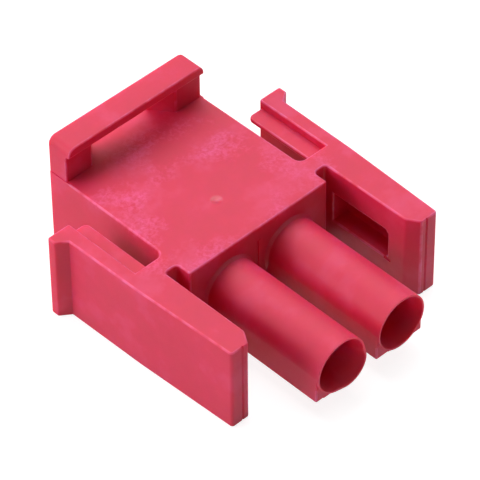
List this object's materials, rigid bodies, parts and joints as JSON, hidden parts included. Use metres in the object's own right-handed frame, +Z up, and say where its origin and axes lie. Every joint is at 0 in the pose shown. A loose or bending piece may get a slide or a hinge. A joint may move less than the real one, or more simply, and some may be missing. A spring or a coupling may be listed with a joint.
{
  "type": "power connector plug housing",
  "caption": "Moulded plug housing of a genderless power connector, with round contact silos, side latch arms and a rear strap.",
  "frame": {"origin": "centre of the overall box, on the flat underside", "axes": "+Z up from the underside to the strap, -Y along the silos towards their mouths, +X across the two silos"},
  "size_m": [0.0244, 0.0276, 0.0113],
  "materials": {
    "nylon": "satin, injection moulded, raspberry red"
  },
  "bodies": {
    "root": {"housing": "nylon"}
  },
  "joints": []
}
